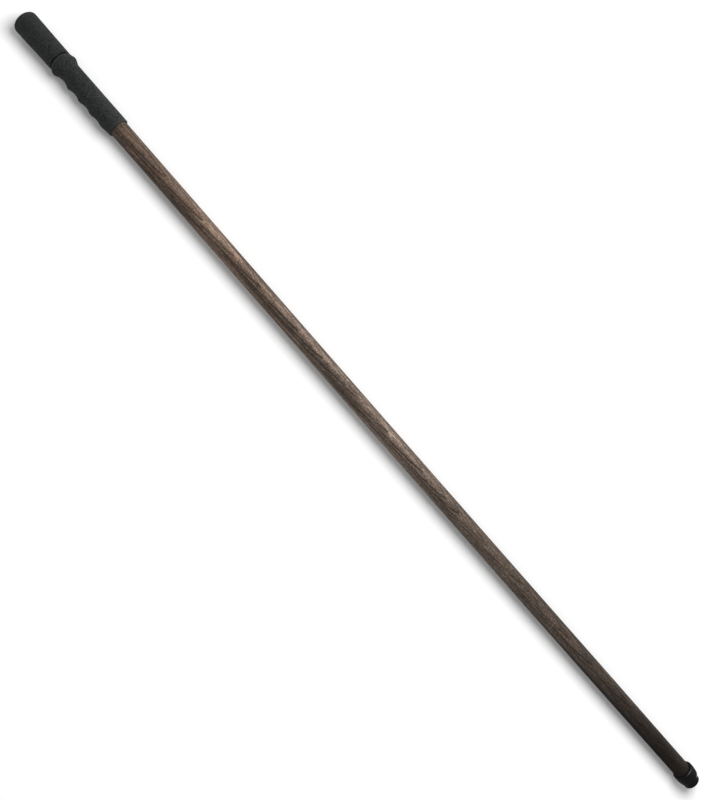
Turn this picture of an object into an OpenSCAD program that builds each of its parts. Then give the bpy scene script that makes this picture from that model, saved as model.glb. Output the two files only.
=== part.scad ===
// Hiking staff: a hardwood stick with a foam finger grip, a foam head that unscrews and a rubber foot.
// It lies along X with its head at -X, its finger grooves towards -Y and the ground it lies on at Z = 0.
// All sizes are in millimetres.

/* [Whole staff] */
// Length from the top of the head to the ground face of the foot
staff_length = 1397; // [1000:1:1700]

/* [Shaft] */
// Diameter of the bare wood
shaft_d = 25.4; // [22:0.1:32]
// Depth of the shoulder where the wood is turned down for the grip
seat_step = 1.6; // [0.8:0.1:2.5]
// Chamfer at the foot of the wood
shaft_chamfer = 1.5; // [0.5:0.1:3]

/* [Head] */
// Length of the head, from its top to the seam
head_length = 69.2; // [50:0.1:110]
// Thickness of the foam at the seam, on the head and on the grip alike
collar_wall = 4.95; // [3:0.05:8]
// How much wider the head's top is than its seam, on the radius
head_flare = 1.05; // [0:0.05:3]
// Thickness of the foam over the end of the head's core
head_crown = 6; // [3:0.5:12]
// Radius of the round along the head's top edge
head_corner_r = 4.8; // [1:0.1:8]

/* [Screw joint] */
// Thickness of the washer in the seam
washer_t = 1.5; // [0.8:0.1:3]
// How far the washer's rim lies inside the foam's surface
washer_recess = 2; // [0.4:0.1:3]
// Room between the stud and the washer's hole, on the radius
washer_clearance = 0.1; // [0.05:0.05:0.5]
// Outside diameter of the stud's thread
thread_d = 7.94; // [6:0.01:10]
// Rise of the thread in one turn
thread_pitch = 1.411; // [1:0.001:2]
// Turns it takes to unscrew the head
thread_turns = 14; // [6:1:18]
// Running room between the stud and its insert, on the radius
thread_clearance = 0.05; // [0.02:0.01:0.1]
// Thickness of the insert's wall
insert_wall = 2.4; // [1:0.1:3]
// Spare depth of the insert past the end of the stud
insert_spare = 2; // [0.5:0.5:6]
// Length of the stud that is fixed in the head's core
stud_hold = 34; // [15:1:40]
// Chamfer at the stud's end
stud_chamfer = 0.8; // [0.2:0.1:1.5]

/* [Grip] */
// Length of the grip, from the seam to the bare wood
grip_length = 113.8; // [110:0.1:150]
// Thickness of the foam along the grip's back
back_wall = 3.8; // [2:0.1:7]
// Distance from the seam to the start of the flange's slope
flange_start = 1.2; // [0.5:0.1:3]
// Distance from the seam to the flange's crest
flange_crest = 6.4; // [5:0.1:8]
// Width of the flange's crest
flange_land = 1.6; // [0.5:0.1:3]
// Distance from the seam to the end of the flange's lower slope
flange_end = 17; // [13:0.5:20]
// How far the flange stands out from the collar
flange_height = 1.85; // [1:0.05:4]
// How far the finger side stands out from the back
finger_side = 1.4; // [0.5:0.1:3]
// Finger grooves
finger_count = 4; // [3:1:4]
// Distance between the finger grooves
finger_pitch = 21.85; // [20:0.05:22]
// Distance from the seam to the deepest line of the first finger groove
first_finger = 21; // [20:0.1:23]
// Depth of the first finger groove
finger_depth = 2.65; // [1.5:0.05:3]
// How much shallower each finger groove is than the one before it
finger_fade = 0.4; // [0:0.05:0.5]
// Radius of a finger groove along the grip
finger_r = 26; // [25:0.5:40]
// How far behind the staff's axis the finger grooves are centred, which ends them at the sides
finger_back = 1.8; // [1:0.1:3]
// Thickness of the foam on the finger side where it meets the bare wood
grip_end_wall = 3.3; // [2:0.1:5]

/* [Foot] */
// Length of the rubber foot
tip_length = 23.8; // [20:0.1:40]
// Thickness of the rubber wall at the foot's rim
tip_wall = 2.55; // [2:0.05:5]
// Room between the wood and the rubber, on the radius
tip_clearance = 0.05; // [0.02:0.01:0.1]
// Radius of the round on the rim
tip_rim_r = 2; // [0.3:0.1:2]
// How much narrower the foot's body is at its shoulder than at its rim, on the radius
tip_taper = 1.15; // [0.5:0.05:3]
// How far the foot's body bulges out between its rim and its shoulder
tip_bulge = 0.45; // [0:0.05:0.8]
// Width of the shoulder above the ground pad
tip_shoulder = 2.15; // [0.4:0.05:3]
// Height of the ground pad
tip_pad = 8.2; // [5:0.1:12]
// Distance from the end of the wood to the shoulder above the ground pad
tip_seat = 0.3; // [0.2:0.1:3]
// Radius of the round along the edge of the ground pad
tip_corner_r = 0.9; // [0.5:0.1:4]
// Thickness of the rubber round the steel disc in the ground pad
disc_wall = 2; // [0.8:0.05:5]
// Thickness of the steel disc
disc_t = 1.5; // [0.8:0.1:3]

/* [Hidden] */
$fn = 96;
over = 1;
round_steps = 8;
side_steps = 6;

// Radii, from the wood outwards
shaft_r = shaft_d / 2;
seat_r = shaft_r - seat_step;
collar_r = seat_r + collar_wall;
back_r = seat_r + back_wall;
finger_side_r = back_r + finger_side;
flange_r = collar_r + flange_height;
groove_r = finger_side_r - finger_depth;
grip_end_r = seat_r + grip_end_wall;
grip_body_r = back_r + finger_side / 2;
thread_r = thread_d / 2;
insert_r = thread_r + thread_clearance + insert_wall;
tip_bore_r = shaft_r + tip_clearance;
tip_rim_out = tip_bore_r + tip_wall;
tip_shoulder_r = tip_rim_out - tip_taper;
tip_pad_r = tip_shoulder_r - tip_shoulder;
disc_r = tip_pad_r - disc_wall;

// Stations along the staff, from the top of the head
seam_top = head_length;
seam_foot = seam_top + washer_t;
grip_foot = seam_foot + grip_length;
tip_rim = staff_length - tip_length;
shaft_foot = staff_length - tip_pad - tip_seat;
stud_top = seam_top - stud_hold;
thread_reach = thread_turns * thread_pitch;
stud_foot = seam_foot + thread_reach;
insert_foot = stud_foot + insert_spare;
last_ridge = first_finger + (finger_count - 0.5) * finger_pitch;

// Points of a round from one angle to another, about a centre
function round_points(centre, r, from, to) = [
    for (i = [0 : round_steps])
        let (angle = from + (to - from) * i / round_steps)
            centre + r * [cos(angle), sin(angle)]
];

// Lays a piece that was drawn down the Z axis along the staff
module along_staff() {
    translate([-staff_length / 2, 0, flange_r])
        rotate([0, 90, 0])
            children();
}

// A cylinder between two stations of the staff
module bar(from, to, r) {
    translate([0, 0, from])
        cylinder(h = to - from, r = r);
}

module shaft() {
    color("#5d4c40")
        along_staff()
            difference() {
                union() {
                    bar(seam_foot, grip_foot + over, seat_r);
                    bar(grip_foot, shaft_foot - shaft_chamfer, shaft_r);
                    translate([0, 0, shaft_foot - shaft_chamfer])
                        cylinder(h = shaft_chamfer, r1 = shaft_r, r2 = shaft_r - shaft_chamfer);
                }
                bar(seam_foot - over, insert_foot, insert_r);
            }
}

// Outline of the grip's collar and flange, which run all round, as radius against distance from the seam
module flange_outline() {
    polygon([
        [0, 0],
        [collar_r, 0],
        [collar_r, flange_start],
        [flange_r, flange_crest],
        [flange_r, flange_crest + flange_land],
        [back_r, flange_end],
        [0, flange_end]
    ]);
}

// One finger groove, a ring about a line behind the staff's axis
module finger_groove(number) {
    translate([0, finger_back, first_finger + number * finger_pitch])
        rotate_extrude()
            translate([groove_r + number * finger_fade + finger_back + finger_r, 0])
                circle(r = finger_r);
}

// Cuts the finger side down to its end below the last ridge
module grip_end_taper() {
    length = grip_length - last_ridge;
    slope = (finger_side_r - grip_end_r) / length;
    wide = 2 * finger_side_r;
    translate([0, finger_back, last_ridge])
        rotate_extrude()
            polygon([
                [finger_side_r + finger_back, 0],
                [grip_end_r + finger_back - slope * over, length + over],
                [wide, length + over],
                [wide, 0]
            ]);
}

module grip_sleeve() {
    color("#2e3030")
        along_staff()
            translate([0, 0, seam_foot])
                difference() {
                    union() {
                        rotate_extrude()
                            flange_outline();
                        translate([0, -finger_side / 2, 0])
                            bar(flange_crest, grip_length, grip_body_r);
                    }
                    for (i = [0 : finger_count - 1])
                        finger_groove(i);
                    grip_end_taper();
                    bar(-over, grip_length + over, seat_r);
                }
}

module thread_insert() {
    color("#b08d4f")
        along_staff()
            difference() {
                bar(seam_foot, insert_foot, insert_r);
                bar(seam_foot - over, insert_foot + over, thread_r + thread_clearance);
            }
}

module joint_washer() {
    color("#151515")
        along_staff()
            difference() {
                bar(seam_top, seam_foot, collar_r - washer_recess);
                bar(seam_top - over, seam_foot + over, thread_r + washer_clearance);
            }
}

module head_core() {
    color("#8a6c4c")
        along_staff()
            difference() {
                bar(head_crown, seam_top, seat_r);
                bar(stud_top, seam_top + over, thread_r);
            }
}

module head_sleeve() {
    top_r = collar_r + head_flare;
    color("#2e3030")
        along_staff()
            difference() {
                rotate_extrude()
                    polygon(concat(
                        [[0, seam_top], [0, 0]],
                        round_points([top_r - head_corner_r, head_corner_r], head_corner_r, -90, 0),
                        [[collar_r, seam_top]]
                    ));
                bar(head_crown, seam_top + over, seat_r);
            }
}

module head_stud() {
    color("#9a9ca0")
        along_staff() {
            bar(stud_top, stud_foot - stud_chamfer, thread_r);
            translate([0, 0, stud_foot - stud_chamfer])
                cylinder(h = stud_chamfer, r1 = thread_r, r2 = thread_r - stud_chamfer);
        }
}

// Outline of the rubber foot as radius against distance from its rim
module tip_outline() {
    pad_top = tip_length - tip_pad;
    polygon(concat(
        [[0, 0]],
        round_points([tip_rim_out - tip_rim_r, tip_rim_r], tip_rim_r, -90, 0),
        [
            for (i = [1 : side_steps])
                let (share = i / side_steps)
                    [
                        tip_rim_out - tip_taper * share + 4 * tip_bulge * share * (1 - share),
                        tip_rim_r + (pad_top - tip_rim_r) * share
                    ]
        ],
        [[tip_pad_r, pad_top]],
        round_points([tip_pad_r - tip_corner_r, tip_length - tip_corner_r], tip_corner_r, 0, 90),
        [[0, tip_length]]
    ));
}

module rubber_tip() {
    color("#222224")
        along_staff()
            difference() {
                translate([0, 0, tip_rim])
                    rotate_extrude()
                        tip_outline();
                bar(tip_rim - over, shaft_foot, tip_bore_r);
                bar(shaft_foot - over, shaft_foot + disc_t, disc_r);
            }
}

module tip_washer() {
    color("#8d9094")
        along_staff()
            bar(shaft_foot, shaft_foot + disc_t, disc_r);
}

shaft();
grip_sleeve();
thread_insert();
joint_washer();
head_core();
head_sleeve();
head_stud();
rubber_tip();
tip_washer();
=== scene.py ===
"""Looks of a hiking staff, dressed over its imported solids. Sizes are in metres."""

from math import cos, hypot, pi, radians, sin, tan, tau

import bmesh
import bpy
from mathutils import Matrix, Vector


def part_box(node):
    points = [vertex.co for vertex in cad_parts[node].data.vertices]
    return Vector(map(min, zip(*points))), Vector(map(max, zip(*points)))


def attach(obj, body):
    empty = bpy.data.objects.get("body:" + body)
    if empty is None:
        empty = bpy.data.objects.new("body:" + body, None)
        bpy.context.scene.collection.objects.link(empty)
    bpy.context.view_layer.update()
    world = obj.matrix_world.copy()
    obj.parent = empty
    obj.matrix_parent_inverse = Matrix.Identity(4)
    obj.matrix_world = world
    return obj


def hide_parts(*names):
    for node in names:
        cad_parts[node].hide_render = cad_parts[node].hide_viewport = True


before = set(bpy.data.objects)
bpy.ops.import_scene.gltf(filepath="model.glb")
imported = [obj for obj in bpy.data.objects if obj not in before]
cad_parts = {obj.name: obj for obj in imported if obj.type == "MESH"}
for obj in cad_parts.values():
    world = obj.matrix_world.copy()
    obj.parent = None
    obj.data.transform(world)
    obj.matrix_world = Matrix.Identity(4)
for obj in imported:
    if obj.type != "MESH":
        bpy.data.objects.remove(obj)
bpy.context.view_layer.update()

scene = bpy.context.scene
scene.view_settings.view_transform = "Standard"
mm = 0.001

# Stations along the staff, from the head to the foot, taken from the solids
head_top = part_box("head_sleeve")[0].x
seam_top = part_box("head_sleeve")[1].x
stud_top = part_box("head_stud")[0].x
seam_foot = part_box("grip_sleeve")[0].x
stud_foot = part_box("head_stud")[1].x
insert_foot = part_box("thread_insert")[1].x
grip_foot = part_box("grip_sleeve")[1].x
tip_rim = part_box("rubber_tip")[0].x
wood_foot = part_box("shaft")[1].x
disc_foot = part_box("tip_washer")[1].x
ground_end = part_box("rubber_tip")[1].x
staff_length = ground_end - head_top
axis_height = (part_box("rubber_tip")[0].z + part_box("rubber_tip")[1].z) / 2

# Radii of the wood, the foam, the screw joint and the foot
wood_r = 12.7 * mm
thin_wood_r = 12.2 * mm
seat_r = 11.1 * mm
collar_r = 16.05 * mm
head_top_r = 17.1 * mm
washer_r = 14.05 * mm
insert_r = 6.42 * mm
thread_r = 3.97 * mm
tip_bore_r = 12.25 * mm
tip_rim_r = 15.3 * mm
tip_shoulder_r = 14.15 * mm
tip_pad_r = 12 * mm
disc_r = 10 * mm

# Lengths of the details
thin_end = 190 * mm
head_crown = 6 * mm
head_round = 4.8 * mm
wood_chamfer = 1.5 * mm
tip_rim_round = 2.4 * mm
tip_bulge = 0.45 * mm
tip_pad = 8.2 * mm
tip_corner = 0.9 * mm
thread_pitch = 1.411 * mm

# Small faults of a hand-made thing: the stick bows towards the finger side between the grip and the foot,
# the foam at the seam and the foot's body sit a little off centre towards +Y and the foot's pad towards
# the finger side, and the foot's rim is lower on the finger side
stick_bow = 1.2 * mm
seam_shift = 0.45 * mm
body_shift = 0.35 * mm
pad_shift = 0.35 * mm
rim_drop = 0.9 * mm


# Nodes, written as formulas

class Wire:
    """An output of a node, with arithmetic, so that a formula made of nodes reads as a formula."""

    def __init__(self, tree, socket):
        self.tree = tree
        self.socket = socket

    def __add__(self, other):
        return maths("ADD", self, other)

    def __radd__(self, other):
        return maths("ADD", other, self)

    def __sub__(self, other):
        return maths("SUBTRACT", self, other)

    def __rsub__(self, other):
        return maths("SUBTRACT", other, self)

    def __mul__(self, other):
        return maths("MULTIPLY", self, other)

    def __rmul__(self, other):
        return maths("MULTIPLY", other, self)

    def __truediv__(self, other):
        return maths("DIVIDE", self, other)

    def __rtruediv__(self, other):
        return maths("DIVIDE", other, self)


def join(value, socket):
    """Feeds a socket with a wire, or sets it to a plain value."""
    if isinstance(value, Wire):
        value.tree.links.new(value.socket, socket)
    else:
        socket.default_value = value


def maths(operation, *values):
    """One step of arithmetic on wires and plain numbers."""
    tree = next(value.tree for value in values if isinstance(value, Wire))
    node = tree.nodes.new("ShaderNodeMath")
    node.operation = operation
    for value, socket in zip(values, node.inputs):
        join(value, socket)
    return Wire(tree, node.outputs[0])


def clamped(value, lowest, highest):
    """A value kept between two others."""
    return maths("MINIMUM", maths("MAXIMUM", value, lowest), highest)


def place(tree, kind, inputs, **settings):
    """Adds a node with its settings, and its inputs by name or number."""
    node = tree.nodes.new(kind)
    for name, value in settings.items():
        setattr(node, name, value)
    for name, value in inputs.items():
        join(value, node.inputs[name])
    return node


def result(node, name):
    """The wire from one output of a node."""
    return Wire(node.id_data, node.outputs[name])


def parted(vector):
    """The X, Y and Z of a vector."""
    node = place(vector.tree, "ShaderNodeSeparateXYZ", {"Vector": vector})
    return [Wire(vector.tree, socket) for socket in node.outputs]


def point(tree, x, y, z):
    """A vector from its X, Y and Z."""
    return result(place(tree, "ShaderNodeCombineXYZ", {"X": x, "Y": y, "Z": z}), "Vector")


def ramp(factor, stops):
    """Colours along a factor, from (position, colour) stops."""
    node = place(factor.tree, "ShaderNodeValToRGB", {"Fac": factor})
    elements = node.color_ramp.elements
    while len(elements) < len(stops):
        elements.new(0.5)
    for element, (position, colour) in zip(elements, stops):
        element.position = position
        element.color = (*colour, 1)
    return result(node, "Color")


def levels(factor, stops):
    """Plain levels along a factor, from (position, level) stops."""
    return ramp(factor, [(position, (level, level, level)) for position, level in stops])


def blended(factor, first, second, way="MIX"):
    """Two colours mixed by a factor."""
    tree = next(value.tree for value in (factor, first, second) if isinstance(value, Wire))
    node = tree.nodes.new("ShaderNodeMix")
    node.data_type = "RGBA"
    node.blend_type = way
    # A Mix node takes its two colours at sockets 6 and 7, and gives the mixed colour at socket 2
    join(factor, node.inputs[0])
    for colour, socket in ((first, node.inputs[6]), (second, node.inputs[7])):
        join(colour if isinstance(colour, Wire) else (*colour, 1), socket)
    return Wire(tree, node.outputs[2])


def noise(vector, detail, roughness=0.5):
    """A noise from 0 to 1 with about one lump in each unit of its vector."""
    node = place(vector.tree, "ShaderNodeTexNoise",
                 {"Vector": vector, "Scale": 1.0, "Detail": detail, "Roughness": roughness})
    return result(node, "Fac")


def stretched(vector, along, across):
    """Coordinates whose units are this long along the staff and across it."""
    node = place(vector.tree, "ShaderNodeVectorMath", {0: vector, 1: (1 / along, 1 / across, 1 / across)},
                 operation="MULTIPLY")
    return result(node, "Vector")


def shrunk(vector, size):
    """Coordinates whose units are this long every way."""
    node = place(vector.tree, "ShaderNodeVectorMath", {0: vector, "Scale": 1 / size}, operation="SCALE")
    return result(node, "Vector")


def object_place(tree):
    """Where a point of the piece lies, in the staff's own frame."""
    return result(tree.nodes.new("ShaderNodeTexCoord"), "Object")


# Effects that several finishes share

def start_effect(name, sizes, outputs):
    """A shader node group with its inputs as wires."""
    tree = bpy.data.node_groups.new(name, "ShaderNodeTree")
    for label, value in sizes.items():
        socket = tree.interface.new_socket(label, in_out="INPUT", socket_type="NodeSocketFloat")
        socket.default_value = value
    for label in outputs:
        tree.interface.new_socket(label, in_out="OUTPUT", socket_type="NodeSocketFloat")
    source = tree.nodes.new("NodeGroupInput")
    return tree, {label: result(source, label) for label in sizes}


def finish_effect(tree, outputs):
    """Joins the outputs of a shader node group."""
    node = tree.nodes.new("NodeGroupOutput")
    for label, wire in outputs.items():
        join(wire, node.inputs[label])
    return tree


def use(tree, group, sizes):
    """Places a shader node group in a material, with its own sizes."""
    node = tree.nodes.new("ShaderNodeGroup")
    node.node_tree = group
    for label, value in sizes.items():
        node.inputs[label].default_value = value
    return node


# Where the points of the grain's arches lie along the stick's upper side, and how dark each line is
arches = [(-0.612, 0.5), (-0.512, 0.6), (-0.423, 0.9), (-0.346, 1.0), (-0.28, 0.4), (-0.2265, 0.9),
          (-0.14, 0.8), (-0.095, 1.0), (-0.022, 0.7), (0.04, 0.4), (0.1126, 1.0), (0.156, 0.9),
          (0.185, 0.7), (0.246, 0.4), (0.3176, 0.6), (0.3475, 0.4), (0.42, 0.5), (0.474, 0.7),
          (0.5585, 0.6), (0.64, 0.5)]
# Which way the arches face, from straight up towards +Y, and how far behind them the tree's heart lay
arch_turn = radians(20)
heart_distance = 60 * mm
# How many rings the arches' points pass in a metre of the stick
arch_steepness = 15
# How thick a year's growth of the tree was
growth_width = 1.8 * mm


def timber_figure():
    """Growth rings of a plain-sawn stick: pointed arches on its upper side, with streaks and pores."""
    line_span = 8 * mm
    tree, size = start_effect("timber_figure", {"Ring width": growth_width, "Wander": 0.5},
                              ["Tone", "Pores", "Height"])
    position = object_place(tree)
    x, y, z = parted(position)
    heart_y = y + heart_distance * sin(arch_turn)
    heart_z = z + (heart_distance * cos(arch_turn) - axis_height)
    from_heart = maths("SQRT", heart_y * heart_y + heart_z * heart_z)
    depth = (heart_distance + wood_r - from_heart) / size["Ring width"]

    # One curve counts the arches passed along the stick, and the other gives each arch's darkness
    most = len(arches) + 1
    count = place(tree, "ShaderNodeFloatCurve", {"Factor": 1.0, "Value": (x - head_top) / staff_length})
    darkness = place(tree, "ShaderNodeFloatCurve", {"Factor": 1.0})
    for number, (station, level) in enumerate(arches, 1):
        count.mapping.curves[0].points.new((station - head_top) / staff_length, number / most)
        darkness.mapping.curves[0].points.new(number / most, level)
    count.mapping.update()
    darkness.mapping.update()

    slow = noise(stretched(position, 150 * mm, 16 * mm), 2.0)
    quick = noise(stretched(position, 30 * mm, 4 * mm), 2.0)
    ragged = noise(stretched(position, 7 * mm, 1.3 * mm), 2.0)
    wander = size["Wander"] * ((slow - 0.5) * 0.8 + (quick - 0.5) * 0.6 + (ragged - 0.5) * 0.4)
    rings = result(count, "Value") * most + depth + wander
    ring = maths("FRACT", rings)
    early = levels(ring, [(0.0, 0.72), (0.25, 0.6), (0.7, 0.42), (0.9, 0.32), (0.97, 0.4), (1.0, 0.72)])

    # Each ring ends in a thin dark line, as thin at the arch's point as along its legs.
    # At the stick's sides, where the rings stand edge-on, the lines run together.
    nearest = maths("FLOOR", rings + 0.5)
    join(nearest / most, darkness.inputs["Value"])
    off_middle = y * cos(arch_turn) - (z - axis_height) * sin(arch_turn)
    slant = off_middle * heart_distance / (wood_r * size["Ring width"]) / from_heart
    steepness = maths("SQRT", slant * slant + arch_steepness * arch_steepness)
    from_line = (rings - nearest) / steepness
    line = levels(0.5 + from_line / line_span, [(0.34, 0), (0.44, 1), (0.54, 1), (0.6, 0)])
    broken = levels(noise(stretched(position, 30 * mm, 5 * mm), 1.0), [(0.36, 0.6), (0.56, 1)])
    run_together = levels(maths("ABSOLUTE", off_middle) / wood_r, [(0.8, 0), (0.97, 0.8)])
    evenly_dark = line + (0.6 - line) * run_together
    late = evenly_dark * result(darkness, "Value") * broken

    clouds = noise(stretched(position, 34 * mm, 6 * mm), 2.0)
    streaks = noise(stretched(position, 75 * mm, 1.3 * mm), 3.0, 0.6)
    flecks = noise(stretched(position, 9 * mm, 1.1 * mm), 2.0, 0.6)
    specks = noise(stretched(position, 2 * mm, 1.4 * mm), 1.0)
    dashes = noise(stretched(position, 9 * mm, 0.42 * mm), 2.0)
    pores = levels(dashes, [(0.56, 0), (0.66, 1)]) * levels(ring, [(0, 0.35), (0.6, 0.2), (0.85, 1), (1, 1)])
    fibres = noise(stretched(position, 12 * mm, 0.28 * mm), 2.0)
    mixed = ((clouds - 0.5) * 0.5 + (streaks - 0.5) * 0.9 + (flecks - 0.5) * 0.8 + (specks - 0.5) * 1.4
             + (fibres - 0.5) * 0.7)
    return finish_effect(tree, {
        "Tone": 0.5 + (early - 0.5) * 0.35 + mixed - late * 0.66,
        "Pores": pores,
        "Height": fibres * 0.4 - pores,
    })


def soft_mark():
    """One pale or dark mark in the wood: an oval that fades out towards its edge."""
    tree, size = start_effect("soft_mark", {"Station": 0, "Offset": 0, "Length": mm, "Width": mm}, ["Mark"])
    position = object_place(tree)
    ragged = noise(stretched(position, 12 * mm, 2.5 * mm), 2.0) - 0.5
    x, y, z = parted(position)
    along = (x - size["Station"]) / (size["Length"] / 2)
    across = (y - size["Offset"]) / (size["Width"] / 2)
    inside = clamped(1 + ragged * 1.5 - (along * along + across * across), 0, 1)
    upper_side = maths("GREATER_THAN", z, axis_height)
    return finish_effect(tree, {"Mark": inside * upper_side})


def fine_speckle():
    """The skin of moulded foam and rubber: a fine grain on a slow mottle."""
    tree, size = start_effect("fine_speckle", {"Grain size": 0.8 * mm, "Mottle size": 9 * mm},
                              ["Grain", "Mottle"])
    position = object_place(tree)
    return finish_effect(tree, {
        "Grain": noise(shrunk(position, size["Grain size"]), 3.0, 0.6),
        "Mottle": noise(shrunk(position, size["Mottle size"]), 2.0),
    })


def turning_marks():
    """Fine rings that a lathe leaves on metal, with a few duller patches."""
    tree, size = start_effect("turning_marks", {"Mark size": 0.2 * mm}, ["Marks", "Patches"])
    position = object_place(tree)
    x, y, z = parted(position)
    height = z - axis_height
    radius = maths("SQRT", y * y + height * height)
    return finish_effect(tree, {
        "Marks": noise(shrunk(point(tree, x, radius, 0), size["Mark size"]), 2.0),
        "Patches": noise(shrunk(position, 4 * mm), 3.0),
    })


# Finishes

def start_finish(name):
    """A material, with its tree and its shader."""
    material = bpy.data.materials.new(name)
    material.use_nodes = True
    return material, material.node_tree, material.node_tree.nodes["Principled BSDF"]


def set_shader(shader, values):
    """Feeds the shader's sockets by name."""
    for name, value in values.items():
        join(value, shader.inputs[name])


def raised(height, depth, strength=1.0):
    """The surface's normal over a height map that stands this high."""
    node = place(height.tree, "ShaderNodeBump", {"Height": height, "Distance": depth, "Strength": strength})
    return result(node, "Normal")


# How light the wood is along the stick, as (station, level): darker towards the foot and beside the grip's
# end
wood_levels_along = [(-0.514, 0.43), (-0.506, 0.55), (-0.4, 0.65), (-0.32, 0.94), (-0.24, 0.66), (-0.16, 0.76),
                (-0.05, 0.76), (0.05, 0.95), (0.17, 0.58), (0.22, 0.67), (0.33, 0.46), (0.39, 0.51),
                (0.57, 0.17), (0.63, 0.11), (0.675, 0.13)]
# Pale and dark marks on the stick's upper side, as (station, offset towards +Y, length, width, strength)
wood_marks = [
    (-285 * mm, 6.4 * mm, 36 * mm, 5 * mm, 0.14),
    (-193 * mm, 3.7 * mm, 26 * mm, 5 * mm, 0.16),
    (-166 * mm, 3.9 * mm, 24 * mm, 5 * mm, 0.12),
    (-118 * mm, 2.7 * mm, 42 * mm, 5 * mm, 0.16),
    (-96 * mm, 2.7 * mm, 10 * mm, 4.5 * mm, -0.3),
    (-88 * mm, 3.2 * mm, 9 * mm, 6 * mm, 0.14),
    (6 * mm, 6.3 * mm, 55 * mm, 5 * mm, 0.12),
    (35 * mm, 2.4 * mm, 20 * mm, 9 * mm, 0.24),
    (90 * mm, 4.4 * mm, 50 * mm, 4 * mm, 0.14),
    (322 * mm, 4 * mm, 9 * mm, 8 * mm, -0.22),
    (347 * mm, 0.5 * mm, 14 * mm, 6 * mm, -0.26),
]
# How warm the wood shows through the stain, as (station, share)
warm_levels = [(-0.3, 1), (-0.12, 0)]
# Colours of the bare wood, from the dark of its grain to the light
bare_colours = [(0.0, (0.2, 0.125, 0.065)), (1.0, (0.5, 0.36, 0.22))]


def along_staff(x, stops):
    """Plain levels along the staff, from (station, level) stops."""
    return levels((x - head_top) / staff_length,
                  [((station - head_top) / staff_length, level) for station, level in stops])


def stained_wood(timber, mark):
    """Hardwood under a grey-brown stain, darker towards the foot, with painted light and shade across it,
    and bare where its ends are cut.
    """
    material, tree, shader = start_finish("stained_wood")
    figure = use(tree, timber, {"Ring width": growth_width, "Wander": 0.5})
    tone, pores = result(figure, "Tone"), result(figure, "Pores")
    position = object_place(tree)
    x, y = parted(position)[:2]

    # Broad pale and dark layers run side by side from near the grip to past the middle of the stick
    waver = noise(stretched(position, 120 * mm, 12 * mm), 2.0)
    layer = levels(0.5 + y / (2 * wood_r) + 0.22 * (waver - 0.5),
                   [(0.05, 0.8), (0.14, 0.75), (0.28, 0.15), (0.43, 0.15), (0.58, 0.5), (0.7, 0.92),
                    (0.8, 0.8), (0.88, 0.5), (0.96, 0.35)])
    layered = along_staff(x, [(-0.42, 0), (-0.28, 0.95), (-0.14, 0.8), (-0.04, 0.42), (0.11, 0.4), (0.2, 0)])
    # Painted light and shade across the stick: the +Y side is painted paler than the other near the grip,
    # and darker towards the foot
    slope = along_staff(x, [(-0.47, 0.62), (-0.42, 0.78), (-0.36, 0.75), (-0.3, 0.5), (0.16, 0.5),
                            (0.32, 0)]) - 0.5
    offside = y / wood_r
    # Near the foot both sides are painted lighter, a painted sheen of reflected light
    painted_edge_sheen = (maths("MINIMUM", offside * offside, 0.65) - 0.2) * along_staff(x, [(0.43, 0), (0.53, 1)])
    tone = tone + (layer - 0.5) * layered * 0.6 + offside * slope * 0.4 + painted_edge_sheen * 0.75
    for station, offset, length, width, strength in wood_marks:
        oval = use(tree, mark, {"Station": station, "Offset": offset, "Length": length, "Width": width})
        tone = tone + result(oval, "Mark") * strength

    grain = ramp(tone, [
        (0.0, (0.046, 0.0357, 0.03)),
        (0.35, (0.106, 0.0795, 0.062)),
        (0.65, (0.1725, 0.129, 0.1)),
        (1.0, (0.38, 0.278, 0.215)),
    ])
    stained = blended(1.0, grain, along_staff(x, wood_levels_along), "MULTIPLY")
    warmed = blended(along_staff(x, warm_levels), stained, (1.05, 0.975, 0.93), "MULTIPLY")
    patchy = levels(noise(stretched(position, 30 * mm, 5 * mm), 2.0), [(0.35, 0), (0.65, 1)])
    mossy = levels(noise(stretched(position, 17 * mm, 7 * mm), 2.0), [(0.35, 0), (0.65, 1)])
    hue = blended(1.0, blended(patchy, (0.97, 1.0, 1.04), (1.03, 1.0, 0.955)),
                  blended(mossy, (1.02, 0.985, 1.015), (0.98, 1.015, 0.985)), "MULTIPLY")
    stained = blended(1.0, warmed, hue, "MULTIPLY")
    porous = blended(pores * 0.55, stained, (0.016, 0.013, 0.011))

    # The two cut ends are bare
    raw = ramp(tone, bare_colours)
    middle = (seam_foot + wood_foot) / 2
    reach = (wood_foot - seam_foot) / 2 - 0.9 * wood_chamfer
    cut = maths("GREATER_THAN", maths("ABSOLUTE", x - middle), reach)
    set_shader(shader, {
        "Base Color": blended(cut, porous, raw),
        "Roughness": 0.42 + 0.2 * pores + 0.1 * (1 - tone),
        "Specular IOR Level": 0.05,
        "Normal": raised(result(figure, "Height"), 0.12 * mm, 0.7),
    })
    return material


def bare_wood(timber):
    """Turned hardwood with no stain or lacquer."""
    material, tree, shader = start_finish("bare_wood")
    figure = use(tree, timber, {"Ring width": growth_width, "Wander": 0.4})
    tone, pores = result(figure, "Tone"), result(figure, "Pores")
    set_shader(shader, {
        "Base Color": blended(pores * 0.5, ramp(tone, bare_colours), (0.1, 0.06, 0.03)),
        "Roughness": 0.7 + 0.15 * pores,
        "Specular IOR Level": 0.2,
        "Normal": raised(result(figure, "Height"), 0.15 * mm),
    })
    return material


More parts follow.
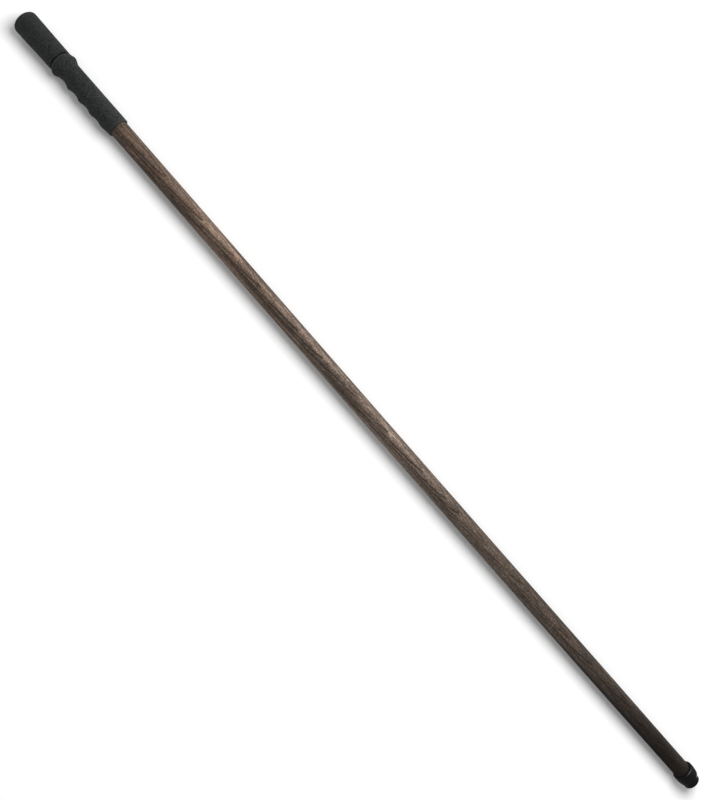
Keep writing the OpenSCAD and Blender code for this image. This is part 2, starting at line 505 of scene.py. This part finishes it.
def charcoal_foam(speckle):
    """Closed-cell foam with a soft dry skin of small cells, a little lighter where hands have rubbed it,
    painted lighter towards +Y and with a painted highlight at the grip's lower end.
    """
    cell_size = 0.6 * mm
    knock_reach = 12 * mm
    highlight_reach = 8 * mm
    material, tree, shader = start_finish("charcoal_foam")
    skin = use(tree, speckle, {"Grain size": 1.2 * mm, "Mottle size": 7 * mm})
    grain, mottle = result(skin, "Grain"), result(skin, "Mottle")
    position = object_place(tree)
    cells = place(tree, "ShaderNodeTexVoronoi", {"Vector": shrunk(position, cell_size), "Scale": 1.0},
                  feature="DISTANCE_TO_EDGE")
    swell = levels(result(cells, "Distance"), [(0.0, 0), (0.12, 0.7), (0.35, 1)])
    shade = levels(0.94 * grain + 0.06 * mottle, [(0.38, 0), (0.62, 1)])
    plain = blended(shade, (0.0025, 0.0027, 0.0027), (0.0335, 0.0355, 0.0352))
    celled = blended(1.0, plain, blended(swell, (0.63, 0.63, 0.63), (1.22, 1.22, 1.22)), "MULTIPLY")

    # Paler where the grip is held and where the head is knocked, and painted paler towards +Y, where the
    # side light falls: wear and painted light
    x, y = parted(position)[:2]
    held = levels((x - seam_foot) / (grip_foot - seam_foot),
                  [(0.0, 0), (0.01, 0.6), (0.1, 0.5), (0.2, 0), (0.38, 0), (0.51, 0.45), (0.68, 0.9),
                   (0.85, 1)])
    knocked = levels((x - head_top) / knock_reach, [(0.3, 0.8), (0.9, 0)])
    painted_lit_side = levels(0.5 + y / (2 * collar_r), [(0.15, 0), (0.3, 0.4), (0.65, 0.75), (0.9, 1)])
    wear_and_painted_light = blended(maths("MAXIMUM", held, knocked) * painted_lit_side, (1, 1, 1), (1.4, 1.38, 1.38))
    handled_and_lit = blended(1.0, celled, wear_and_painted_light, "MULTIPLY")

    # A painted highlight at the grip's lower end: its end face and edge are painted lighter, more so towards
    # +Y
    at_end = levels((x - grip_foot) / highlight_reach + 1, [(0.72, 0), (0.96, 1)])
    painted_highlight = at_end * levels(y / collar_r, [(0.1, 0.45), (0.6, 1)])
    set_shader(shader, {
        "Base Color": blended(painted_highlight * 0.7, handled_and_lit, (0.055, 0.055, 0.053)),
        "Roughness": 0.84 + 0.14 * grain,
        "Specular IOR Level": 0.1,
        "Normal": raised(grain + swell * 0.3, 0.3 * mm, 0.8),
    })
    return material


def black_rubber(speckle):
    """Dull dusty rubber, with a painted highlight on one side of the foot's rim, which is smoother there,
    and a paler patch beside its pad.
    """
    highlight_turn = radians(22)
    rim_span = 4 * mm
    patch_span = 10 * mm
    shoulder = ground_end - tip_pad
    material, tree, shader = start_finish("black_rubber")
    skin = use(tree, speckle, {"Grain size": 0.45 * mm, "Mottle size": 7 * mm})
    grain, mottle = result(skin, "Grain"), result(skin, "Mottle")
    specks = 0.5 * grain + 0.5 * mottle
    dust = levels(specks, [(0.45, 0), (0.75, 1)])
    dusty = blended(dust, (0.0012, 0.0012, 0.0014), (0.0042, 0.0042, 0.0046))
    x, y, z = parted(object_place(tree))
    # A painted highlight on the rim, strongest on its upper +Y side
    rim = levels((x - tip_rim) / rim_span + 0.5, [(0.48, 0), (0.5, 0.5), (0.7, 1), (0.9, 1), (1.0, 0)])
    towards_highlight = (y * sin(highlight_turn) + (z - axis_height) * cos(highlight_turn)) / tip_rim_r
    painted_highlight = rim * levels(towards_highlight, [(0.8, 0.08), (0.93, 0.25), (0.99, 1)])
    # A paler patch beside the pad, on the +Y side, broken up by the speckle
    beside_pad = levels((x - shoulder) / patch_span + 0.5, [(0.3, 0), (0.45, 1), (0.9, 1), (1.0, 0)])
    patch_breakup = levels(specks, [(0.4, 0.3), (0.55, 1)])
    pale_patch = beside_pad * levels(y / tip_pad_r, [(0.72, 0), (0.88, 1)]) * patch_breakup
    with_pale_patch = blended(pale_patch, dusty, (0.22, 0.22, 0.225))
    set_shader(shader, {
        "Base Color": blended(painted_highlight, with_pale_patch, (0.06, 0.06, 0.065)),
        "Roughness": 0.58 + 0.1 * mottle - 0.3 * painted_highlight,
        "Specular IOR Level": 0.06,
        "Normal": raised(grain, 0.05 * mm, 0.5),
    })
    return material


def zinc_steel(marks):
    """Zinc-plated steel with fine turning marks."""
    material, tree, shader = start_finish("zinc_steel")
    turned_face = use(tree, marks, {"Mark size": 0.2 * mm})
    rings, patches = result(turned_face, "Marks"), result(turned_face, "Patches")
    set_shader(shader, {
        "Base Color": blended(patches, (0.5, 0.51, 0.53), (0.62, 0.63, 0.65)),
        "Metallic": 1.0,
        "Roughness": 0.24 + 0.14 * rings + 0.1 * patches,
        "Normal": raised(rings, 0.02 * mm, 0.5),
    })
    return material


def turned_brass(marks):
    """Brass fresh from the lathe, with a faint brown tarnish."""
    material, tree, shader = start_finish("turned_brass")
    turned_face = use(tree, marks, {"Mark size": 0.25 * mm})
    rings, patches = result(turned_face, "Marks"), result(turned_face, "Patches")
    set_shader(shader, {
        "Base Color": blended(patches, (0.62, 0.45, 0.19), (0.47, 0.32, 0.13)),
        "Metallic": 1.0,
        "Roughness": 0.22 + 0.16 * rings + 0.1 * patches,
        "Normal": raised(rings, 0.02 * mm, 0.5),
    })
    return material


timber = timber_figure()
speckle = fine_speckle()
marks = turning_marks()
wood_finish = stained_wood(timber, soft_mark())
core_finish = bare_wood(timber)
foam_finish = charcoal_foam(speckle)
rubber_finish = black_rubber(speckle)
steel_finish = zinc_steel(marks)
brass_finish = turned_brass(marks)


# Pieces turned about the staff's axis

def rounded(corners, steps=8):
    """An outline through (station, radius, bend) corners, each rounded by an arc of its own bend."""
    outline = []
    for number, (station, radius, bend) in enumerate(corners):
        here = Vector((station, radius))
        if bend == 0:
            outline.append(here)
            continue
        before = (Vector(corners[number - 1][:2]) - here).normalized()
        after = (Vector(corners[(number + 1) % len(corners)][:2]) - here).normalized()
        half_angle = before.angle(after) / 2
        centre = here + (before + after).normalized() * bend / sin(half_angle)
        start = here + before * bend / tan(half_angle)
        end = here + after * bend / tan(half_angle)
        outline.append(start + before * 0.1 * bend)
        for step in range(steps + 1):
            outline.append(centre + (start.lerp(end, step / steps) - centre).normalized() * bend)
        outline.append(end + after * 0.1 * bend)
    return outline


def in_short_runs(outline, longest):
    """The same outline with its long straight runs cut into shorter ones."""
    runs = [outline[0]]
    for start, end in zip(outline, outline[1:]):
        pieces = 1 + int((end - start).length / longest)
        runs += [start.lerp(end, number / pieces) for number in range(1, pieces + 1)]
    return runs


def link_mesh(name, mesh, material):
    """A smooth object in the scene from a mesh and its finish."""
    mesh.materials.clear()
    mesh.materials.append(material)
    mesh.polygons.foreach_set("use_smooth", [True] * len(mesh.polygons))
    piece = bpy.data.objects.new(name, mesh)
    scene.collection.objects.link(piece)
    return piece


def turned(name, outline, material, closed=False, segments=96):
    """A solid turned from an outline that starts and ends on the axis, or that closes on itself."""
    shape = bmesh.new()
    rings = []
    for station, radius in outline:
        turns = [tau * number / segments for number in range(segments)] if radius > 0 else [0]
        rings.append([shape.verts.new((station, radius * sin(turn), axis_height + radius * cos(turn)))
                      for turn in turns])
    pairs = list(zip(rings, rings[1:]))
    if closed:
        pairs.append((rings[-1], rings[0]))
    for first, second in pairs:
        for here in range(segments):
            there = (here + 1) % segments
            corners = [first[here % len(first)], first[there % len(first)],
                       second[there % len(second)], second[here % len(second)]]
            shape.faces.new(list(dict.fromkeys(corners)))
    bmesh.ops.recalc_face_normals(shape, faces=shape.faces)
    mesh = bpy.data.meshes.new(name)
    shape.to_mesh(mesh)
    shape.free()
    return link_mesh(name, mesh, material)


def make_stick():
    """The long stick, bored for the insert, turned down for the grip and thinned a little for the foot."""
    outline = rounded([
        (insert_foot, 0, 0),
        (insert_foot, insert_r, 0.2 * mm),
        (seam_foot, insert_r, 0.3 * mm),
        (seam_foot, seat_r, 0.4 * mm),
        (grip_foot, seat_r, 0.3 * mm),
        (grip_foot, wood_r, 0.4 * mm),
        (tip_rim - thin_end, wood_r, 0),
        (tip_rim, thin_wood_r, 0),
        (wood_foot - wood_chamfer, thin_wood_r, 0.5 * mm),
        (wood_foot, thin_wood_r - wood_chamfer, 0.4 * mm),
        (wood_foot, 0, 0),
    ])
    stick = turned("stick", in_short_runs(outline, 12 * mm), wood_finish)
    for vertex in stick.data.vertices:
        share = (vertex.co.x - grip_foot) / (tip_rim - grip_foot)
        if 0 < share < 1:
            vertex.co.y -= stick_bow * sin(pi * share)
    return stick


def make_head_foam():
    """The foam cap on the head, with a soft crown."""
    cap = turned("head_foam", in_short_runs(rounded([
        (head_top + head_crown, 0, 0),
        (head_top + head_crown, seat_r, 0.4 * mm),
        (seam_top, seat_r, 0.4 * mm),
        (seam_top, collar_r, 0.6 * mm),
        (head_top + 0.1 * mm, head_top_r, head_round),
        (head_top, 0, 0),
    ]), 4 * mm), foam_finish, segments=128)
    for vertex in cap.data.vertices:
        share = (vertex.co.x - head_top) / (seam_top - head_top)
        if hypot(vertex.co.y, vertex.co.z - axis_height) > seat_r + 1 * mm:
            vertex.co.y += seam_shift * share * share
    return cap


def make_seam_washer():
    """The dark disc in the seam."""
    hole_r = thread_r + 0.1 * mm
    return turned("seam_washer", rounded([
        (seam_top, hole_r, 0.2 * mm),
        (seam_top, washer_r, 0.4 * mm),
        (seam_foot, washer_r, 0.4 * mm),
        (seam_foot, hole_r, 0.2 * mm),
    ]), rubber_finish, closed=True)


def make_foot():
    """The rubber foot: a cup with a rounded rim, a shoulder, and a pad with rings in its ground face."""
    ring_radii = (8.2 * mm, 4.6 * mm)
    ring_width = 1.8 * mm
    ring_depth = 0.7 * mm
    ring_slope = 0.3 * mm
    ring_edge = 0.2 * mm
    rings = []
    for outer in ring_radii:
        inner = outer - ring_width
        rings += [
            (ground_end, outer, ring_edge),
            (ground_end - ring_depth, outer - ring_slope, ring_edge),
            (ground_end - ring_depth, inner + ring_slope, ring_edge),
            (ground_end, inner, ring_edge),
        ]
    side_start = tip_rim + tip_rim_round
    side_end = ground_end - tip_pad
    side_steps = 12
    side = []
    for step in range(1, side_steps):
        share = step / side_steps
        bulge = 4 * tip_bulge * share * (1 - share)
        side.append((side_start + (side_end - side_start) * share,
                     tip_rim_r + (tip_shoulder_r - tip_rim_r) * share + bulge, 0))
    foot = turned("foot", rounded([
        (disc_foot, 0, 0),
        (disc_foot, disc_r, 0.2 * mm),
        (wood_foot, disc_r, 0.2 * mm),
        (wood_foot, tip_bore_r, 0.3 * mm),
        (tip_rim, tip_bore_r, 0),
        (tip_rim, tip_rim_r, tip_rim_round),
        *side,
        (side_end, tip_shoulder_r, 0.3 * mm),
        (side_end, tip_pad_r, 0.3 * mm),
        (ground_end, tip_pad_r, tip_corner),
        *rings,
        (ground_end, 0, 0),
    ]), rubber_finish)

    # The rim drops on the finger side, and the pad and the body move apart sideways, but the bore doesn't
    drop_reach = 5 * mm
    for vertex in foot.data.vertices:
        x, y, z = vertex.co
        radius = hypot(y, z - axis_height)
        near_rim = max(1 - (x - tip_rim) / drop_reach, 0)
        vertex.co.x += rim_drop * near_rim * max(-y / tip_rim_r, 0)
        in_pad = x > disc_foot + 0.1 * mm or (x > side_end + 0.1 * mm and radius > disc_r + 1 * mm)
        if in_pad:
            vertex.co.y -= pad_shift
        elif radius > tip_bore_r + 0.2 * mm:
            vertex.co.y += body_shift
    return foot


# Pieces that follow a rule, made with Geometry Nodes

def start_shape(name, sizes):
    """A geometry tree with a named input for each size and one for the finish."""
    tree = bpy.data.node_groups.new(name, "GeometryNodeTree")
    for label in sizes:
        tree.interface.new_socket(label, in_out="INPUT", socket_type="NodeSocketFloat")
    tree.interface.new_socket("Finish", in_out="INPUT", socket_type="NodeSocketMaterial")
    tree.interface.new_socket("Geometry", in_out="OUTPUT", socket_type="NodeSocketGeometry")
    source = tree.nodes.new("NodeGroupInput")
    return tree, {label: result(source, label) for label in [*sizes, "Finish"]}


def unit_sheet(tree, rows, columns):
    """A flat grid, with each point's share of the way along it and across it."""
    grid = place(tree, "GeometryNodeMeshGrid", {"Size X": 1.0, "Size Y": 1.0, "Vertices X": rows,
                                                "Vertices Y": columns})
    x, y = parted(result(tree.nodes.new("GeometryNodeInputPosition"), "Position"))[:2]
    return result(grid, "Mesh"), x + 0.5, y + 0.5


def finish_shape(tree, sheet, station, radius, turn, finish):
    """Rolls a sheet about the staff's axis, joins its edges and gives it its finish."""
    where = point(tree, station, radius * maths("SINE", turn), axis_height + radius * maths("COSINE", turn))
    rolled = place(tree, "GeometryNodeSetPosition", {"Geometry": sheet, "Position": where})
    closed = place(tree, "GeometryNodeMergeByDistance",
                   {"Geometry": result(rolled, "Geometry"), "Distance": 0.002 * mm})
    plain = place(tree, "GeometryNodeRealizeInstances", {"Geometry": result(closed, "Geometry")})
    dressed = place(tree, "GeometryNodeSetMaterial",
                    {"Geometry": result(plain, "Geometry"), "Material": finish})
    place(tree, "NodeGroupOutput", {"Geometry": result(dressed, "Geometry")})
    return tree


def grown(name, tree, sizes, material):
    """Runs a geometry tree once and keeps its result as a plain mesh."""
    holder = bpy.data.objects.new(name + "_holder", bpy.data.meshes.new(name + "_holder"))
    scene.collection.objects.link(holder)
    modifier = holder.modifiers.new("shape", "NODES")
    modifier.node_group = tree
    for item in tree.interface.items_tree:
        if item.in_out == "INPUT":
            modifier[item.identifier] = material if item.name == "Finish" else sizes[item.name]
    evaluated = holder.evaluated_get(bpy.context.evaluated_depsgraph_get())
    mesh = bpy.data.meshes.new_from_object(evaluated)
    holder.modifiers.remove(modifier)
    bpy.data.objects.remove(holder)
    shape = bmesh.new()
    shape.from_mesh(mesh)
    bmesh.ops.recalc_face_normals(shape, faces=shape.faces)
    shape.to_mesh(mesh)
    shape.free()
    mesh.name = name
    return link_mesh(name, mesh, material)


grip_sizes = {
    "Start": seam_foot,
    "Length": grip_foot - seam_foot,
    "Bore radius": seat_r,
    "Collar radius": collar_r,
    "Flange radius": 17.9 * mm,
    "Flange start": 1.2 * mm,
    "Flange crest": 6.4 * mm,
    "Flange land": 1.6 * mm,
    "Flange end": 17 * mm,
    "Flange lean": 1.6 * mm,
    "Flange swell": 0.5 * mm,
    "Collar shift": seam_shift,
    "Back radius": 14.9 * mm,
    "Finger side": 1.4 * mm,
    "Fingers": 4,
    "First finger": 21 * mm,
    "Finger pitch": 21.85 * mm,
    "Finger depth": 2.65 * mm,
    "Finger fade": 0.4 * mm,
    "Finger round": 26 * mm,
    "Finger offset": 1.8 * mm,
    "End radius": 14.4 * mm,
    "Collar edge": 0.8 * mm,
    "End edge": 1.4 * mm,
    "Softness": 0.6 * mm,
}


def finger_grip():
    """A foam sleeve with a collar, a flange and a row of finger grooves on one side."""
    tree, size = start_shape("finger_grip", grip_sizes)
    sheet, walk, around = unit_sheet(tree, rows=560, columns=129)
    turn = around * tau
    side = maths("SINE", turn)
    soft = size["Softness"]

    # The walk goes up the collar's face, along the outside, down the lower face and back through the bore
    face_share = 0.03
    lower_face_end = 0.99
    bore_top = 0.999
    outside = clamped((walk - face_share) / (lower_face_end - 2 * face_share), 0, 1)
    returning = maths("GREATER_THAN", walk, bore_top)
    along = size["Length"] * outside * (1 - returning)
    rising = maths("MINIMUM", walk / face_share, 1)
    falling = clamped((lower_face_end - walk) / face_share, 0, 1)

    def off_centre(offset, radius):
        """Distance from the staff's axis to a circle whose centre lies off it, towards +Y."""
        sideways = offset * offset * (1 - side * side)
        return offset * side + maths("SQRT", maths("MAXIMUM", radius * radius - sideways, 0))

    near_seam = maths("MAXIMUM", 1 - along / size["Flange crest"], 0)
    collar = size["Collar radius"] + size["Collar shift"] * near_seam * side
    back = size["Back radius"]
    flange = size["Flange radius"] + size["Flange swell"] * maths("MAXIMUM", side, 0)
    finger_side = size["Finger side"]
    body = off_centre(finger_side * -0.5, back + finger_side * 0.5)
    crest = size["Flange crest"] + size["Flange lean"] * side
    crest_end = crest + size["Flange land"]
    up = collar + (along - size["Flange start"]) * (flange - collar) / (crest - size["Flange start"])
    down = flange - (along - crest_end) * (flange - back) / (size["Flange end"] - crest_end)
    slopes = maths("SMOOTH_MIN", up, down, soft)
    ridge = maths("SMOOTH_MIN", slopes, flange, 0.6 * soft)
    past_crest = maths("GREATER_THAN", along, crest)
    base = collar + (body - collar) * past_crest
    sleeve = maths("SMOOTH_MAX", ridge, base, 1.5 * soft)

    finger_r = back + finger_side
    number = maths("ROUND", (along - size["First finger"]) / size["Finger pitch"])
    nearest = clamped(number, 0, size["Fingers"] - 1)
    off = along - size["First finger"] - nearest * size["Finger pitch"]
    bulge = maths("SQRT", maths("MAXIMUM", size["Finger round"] * size["Finger round"] - off * off, 0))
    deepest = finger_r - size["Finger depth"] + nearest * size["Finger fade"]
    groove_r = deepest + size["Finger offset"] + size["Finger round"] - bulge
    grooved = maths("SMOOTH_MIN", sleeve, off_centre(size["Finger offset"], groove_r), 0.3 * soft)

    last_ridge = size["First finger"] + (size["Fingers"] - 0.5) * size["Finger pitch"]
    slope = (finger_r - size["End radius"]) / (size["Length"] - last_ridge)
    taper_r = finger_r + size["Finger offset"] - (along - last_ridge) * slope
    tapered = maths("SMOOTH_MIN", grooved, off_centre(size["Finger offset"], taper_r), 0.8 * soft)

    def edge_loss(from_edge, bend):
        """How much a rounded edge takes off the radius."""
        inside = maths("MAXIMUM", 1 - from_edge / bend, 0)
        return bend * (1 - maths("SQRT", maths("MAXIMUM", 1 - inside * inside, 0)))

    edges = edge_loss(along, size["Collar edge"]) + edge_loss(size["Length"] - along, size["End edge"])
    bore = size["Bore radius"]
    radius = bore + (tapered - edges - bore) * maths("MINIMUM", rising, falling)
    return finish_shape(tree, sheet, size["Start"] + along, radius, turn, size["Finish"])


stud_sizes = {
    "Start": stud_top,
    "Length": stud_foot - stud_top,
    "Crest radius": thread_r,
    "Thread depth": 0.78 * mm,
    "Pitch": thread_pitch,
    "Chamfer": 0.8 * mm,
}


def threaded_stud():
    """A stud with a right-handed thread along it and a chamfer at each end."""
    tree, size = start_shape("threaded_stud", stud_sizes)
    sheet, walk, around = unit_sheet(tree, rows=480, columns=41)
    turn = around * tau

    # The walk starts and ends in the middle of the stud's two ends
    end_share = 0.004
    middle_share = 0.001
    along = size["Length"] * clamped((walk - end_share) / (1 - 2 * end_share), 0, 1)
    on_side = maths("GREATER_THAN", walk, middle_share) * maths("LESS_THAN", walk, 1 - middle_share)

    # The thread is flat at its crest and at its root, with a straight flank between them
    flat_share = 0.12
    lead = maths("FRACT", along / size["Pitch"] - around + 1)
    flank = maths("ABSOLUTE", lead * 2 - 1)
    profile = clamped((flank - flat_share) / (1 - 2 * flat_share), 0, 1)
    thread = size["Crest radius"] - size["Thread depth"] * profile
    from_end = maths("MINIMUM", along, size["Length"] - along)
    chamfer = size["Crest radius"] - size["Chamfer"] + from_end
    radius = maths("MINIMUM", thread, chamfer) * on_side
    return finish_shape(tree, sheet, size["Start"] + along, radius, turn, size["Finish"])


# The staff, piece by piece

def dress(piece, node, body):
    """Lets a piece stand for a node of the frame and move with its body."""
    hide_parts(node)
    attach(piece, body)


stick = make_stick()
grip = grown("finger_grip", finger_grip(), grip_sizes, foam_finish)
head = make_head_foam()
washer = make_seam_washer()
stud = grown("threaded_stud", threaded_stud(), stud_sizes, steel_finish)
foot = make_foot()

dress(stick, "shaft", "staff")
dress(grip, "grip_sleeve", "staff")
dress(head, "head_sleeve", "head")
dress(washer, "joint_washer", "washer")
dress(stud, "head_stud", "head")
dress(foot, "rubber_tip", "foot")

# Three inner pieces keep their solids and only get a finish
inner_finishes = {"thread_insert": brass_finish, "head_core": core_finish, "tip_washer": steel_finish}
for node, finish in inner_finishes.items():
    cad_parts[node].material_slots[0].material = finish


# Floor, light and camera

def seen_directly(tree):
    """Whether a ray comes from the camera, or from something that mirrors or lets light through."""
    rays = tree.nodes.new("ShaderNodeLightPath")
    return maths("MAXIMUM", result(rays, "Is Camera Ray"),
                 maths("MAXIMUM", result(rays, "Is Glossy Ray"), result(rays, "Is Transmission Ray")))


def floor_finish():
    """A plain pale floor that keeps the staff's shadow and is seen as white farther away."""
    shadow_reach = 0.05
    white_from = 0.16
    material, tree, shader = start_finish("pale_floor")
    set_shader(shader, {"Base Color": (0.8, 0.8, 0.8, 1), "Roughness": 0.9, "Specular IOR Level": 0.0})
    x, y = parted(object_place(tree))[:2]
    past_end = maths("MAXIMUM", maths("ABSOLUTE", x) - staff_length / 2, 0)
    away = maths("SQRT", past_end * past_end + y * y)
    far = levels(away, [(shadow_reach, 0), (white_from, 1)])
    white = place(tree, "ShaderNodeEmission", {"Color": (1, 1, 1, 1), "Strength": 1.0})
    both = place(tree, "ShaderNodeMixShader", {0: far * seen_directly(tree), 1: result(shader, "BSDF"),
                                               2: result(white, "Emission")})
    join(result(both, "Shader"), tree.nodes["Material Output"].inputs["Surface"])
    return material


def make_floor():
    """A wide pale floor under the staff."""
    reach = 40
    mesh = bpy.data.meshes.new("floor")
    corners = [(-reach, -reach, 0), (reach, -reach, 0), (reach, reach, 0), (-reach, reach, 0)]
    mesh.from_pydata(corners, [], [(0, 1, 2, 3)])
    floor = bpy.data.objects.new("floor", mesh)
    scene.collection.objects.link(floor)
    mesh.materials.append(floor_finish())
    return floor


def aim_at_floor(lamp, floor, floor_state):
    """Puts a lamp in the scene and lets it light only the floor, or everything else."""
    scene.collection.objects.link(lamp)
    receivers = bpy.data.collections.new(lamp.name + "_receivers")
    receivers.objects.link(floor)
    receivers.collection_objects[0].light_linking.link_state = floor_state
    lamp.light_linking.receiver_collection = receivers


def make_lamp(name, elevation, spread, level, floor):
    """A soft lamp for the staff alone, this high above +Y, or past 90 degrees over the top towards -Y."""
    light = bpy.data.lights.new(name, "SUN")
    light.energy = pi * level
    light.angle = radians(spread)
    lamp = bpy.data.objects.new(name, light)
    lamp.rotation_euler = (radians(elevation - 90), 0, 0)
    aim_at_floor(lamp, floor, "EXCLUDE")


def make_floor_lamp(offset, size, level, floor):
    """A soft lamp beside the camera, which lights only the floor, and lights all of it equally."""
    light = bpy.data.lights.new("floor_lamp", "POINT")
    light.energy = 4 * pi * pi
    light.shadow_soft_size = size
    light.use_nodes = True
    lamp = bpy.data.objects.new("floor_lamp", light)
    lamp.location = camera_place + offset
    tree = light.node_tree
    unfading = place(tree, "ShaderNodeLightFalloff", {"Strength": level})
    slant = result(tree.nodes.new("ShaderNodeLightPath"), "Ray Length") / lamp.location.z
    join(result(unfading, "Constant") * slant, tree.nodes["Emission"].inputs["Strength"])
    aim_at_floor(lamp, floor, "INCLUDE")


def make_world(level):
    """An even sky, which the camera and the reflections see as white."""
    world = bpy.data.worlds.new("studio")
    world.use_nodes = True
    tree = world.node_tree
    tree.nodes.clear()
    sky = place(tree, "ShaderNodeBackground", {"Color": (1, 1, 1, 1), "Strength": level})
    white = place(tree, "ShaderNodeBackground", {"Color": (1, 1, 1, 1), "Strength": 1.0})
    both = place(tree, "ShaderNodeMixShader", {0: seen_directly(tree), 1: result(sky, "Background"),
                                               2: result(white, "Background")})
    place(tree, "ShaderNodeOutputWorld", {"Surface": result(both, "Shader")})
    scene.world = world


# The picture's view of the staff
view_tilt = radians(3.7)
picture_turn = radians(48.72)
aim = Vector((-33.5 * mm, -1.6 * mm, axis_height))
camera_distance = 1.0302
camera_lens = 33.75
camera_place = aim + Vector((-sin(view_tilt), 0, cos(view_tilt))) * camera_distance


def make_camera():
    """The photograph's view: from above, tilted a little towards the head, the staff across the picture."""
    along = Vector((cos(view_tilt), 0, sin(view_tilt)))
    across = Vector((0, 1, 0))
    back = along.cross(across)
    right = along * cos(picture_turn) + across * sin(picture_turn)
    up = across * cos(picture_turn) - along * sin(picture_turn)
    lens = bpy.data.cameras.new("camera")
    lens.lens = camera_lens
    lens.sensor_width = 36
    lens.clip_end = 200
    camera = bpy.data.objects.new("camera", lens)
    scene.collection.objects.link(camera)
    camera.matrix_world = Matrix.Translation(camera_place) @ Matrix((right, up, back)).transposed().to_4x4()
    scene.camera = camera


floor = make_floor()
make_world(level=0.5)
make_lamp("overhead", elevation=90, spread=60, level=0.25, floor=floor)
make_lamp("key", elevation=58, spread=20, level=0.2, floor=floor)
make_lamp("side_softbox", elevation=14, spread=28, level=0.9, floor=floor)
make_lamp("fill", elevation=170, spread=40, level=0.14, floor=floor)
make_floor_lamp(offset=Vector((0, 0.47, -0.22)), size=0.31, level=0.89, floor=floor)
make_camera()
